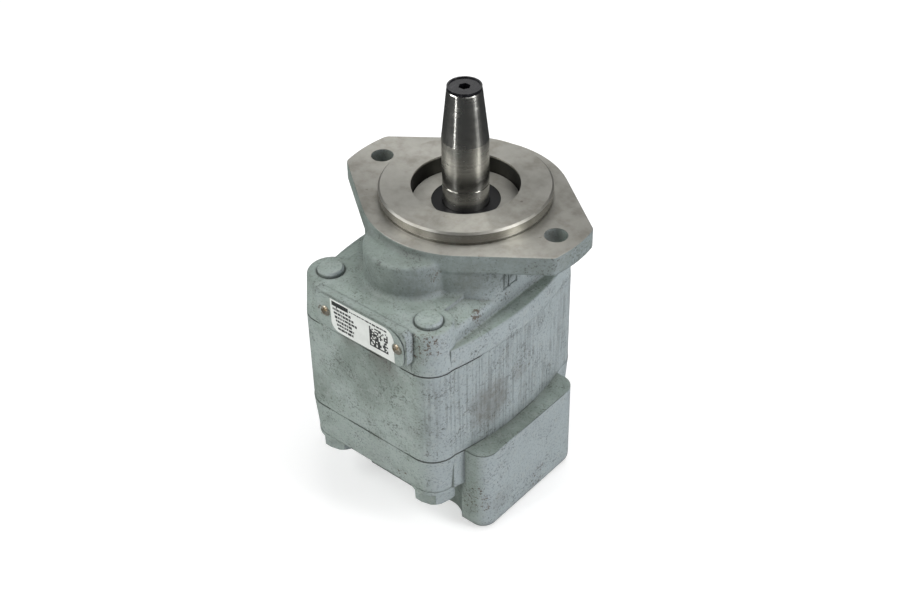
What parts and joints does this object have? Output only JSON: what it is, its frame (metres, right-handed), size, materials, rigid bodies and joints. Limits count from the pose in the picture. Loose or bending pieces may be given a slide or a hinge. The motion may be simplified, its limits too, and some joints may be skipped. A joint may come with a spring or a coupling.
{
  "type": "hydraulic gear pump",
  "caption": "Cast-iron external gear pump with a two-hole mounting flange, pilot, tapered drive shaft and rear ports.",
  "frame": {"origin": "centre of the mounting flange face on the drive shaft axis", "axes": "+Z along the drive shaft, out of the flange; +X along the line of the two flange holes; -Y towards the nameplate"},
  "size_m": [0.1306, 0.13, 0.2055],
  "materials": {
    "painted_iron": "pale grey-green paint over rough casting",
    "painted_steel": "pale grey-green paint over steel",
    "ground_steel": "ground, with faint rings",
    "plain_steel": "plain steel",
    "bronze": "turned bearing bronze",
    "black_rubber": "oil-resistant rubber",
    "plate_metal": "printed white label in the middle, painted ends",
    "rivet_steel": "worn",
    "black_plastic": "moulded"
  },
  "bodies": {
    "pump_body": {"shaft_end_cover": "painted_iron", "gear_housing": "painted_iron", "port_end_cover": "painted_iron", "thrust_plate_front": "bronze", "thrust_plate_rear": "bronze", "pocket_seal_front": "black_rubber", "pocket_seal_rear": "black_rubber", "body_seal_front": "black_rubber", "body_seal_rear": "black_rubber", "bush_drive_front": "bronze", "bush_drive_rear": "bronze", "bush_driven_front": "bronze", "bush_driven_rear": "bronze", "seal_case": "plain_steel", "shaft_seal": "black_rubber", "garter_spring": "plain_steel", "housing_bolts": "painted_steel", "bolt_washers": "painted_steel", "dowel_pins": "plain_steel", "nameplate": "plate_metal", "nameplate_rivets": "rivet_steel"},
    "drive_shaft": {"drive_gear_shaft": "ground_steel"},
    "idler": {"driven_gear": "ground_steel"},
    "plug": {"shaft_end_plug": "black_plastic"}
  },
  "joints": [
    {"name": "drive_spin", "type": "hinge", "parent": "pump_body", "child": "drive_shaft", "pos_m": [0, 0, 0], "axis": [0, 0, 1], "continuous": true},
    {"name": "driven_spin", "type": "hinge", "parent": "pump_body", "child": "idler", "pos_m": [0, -0.0397, 0], "axis": [0, 0, 1], "continuous": true},
    {"name": "plug_pull", "type": "slide", "parent": "drive_shaft", "child": "plug", "axis": [0, 0, 1], "range_m": [0, 0.03]}
  ],
  "couplings": [
    {"joint": "driven_spin", "follows": "drive_spin", "ratio": -1}
  ]
}
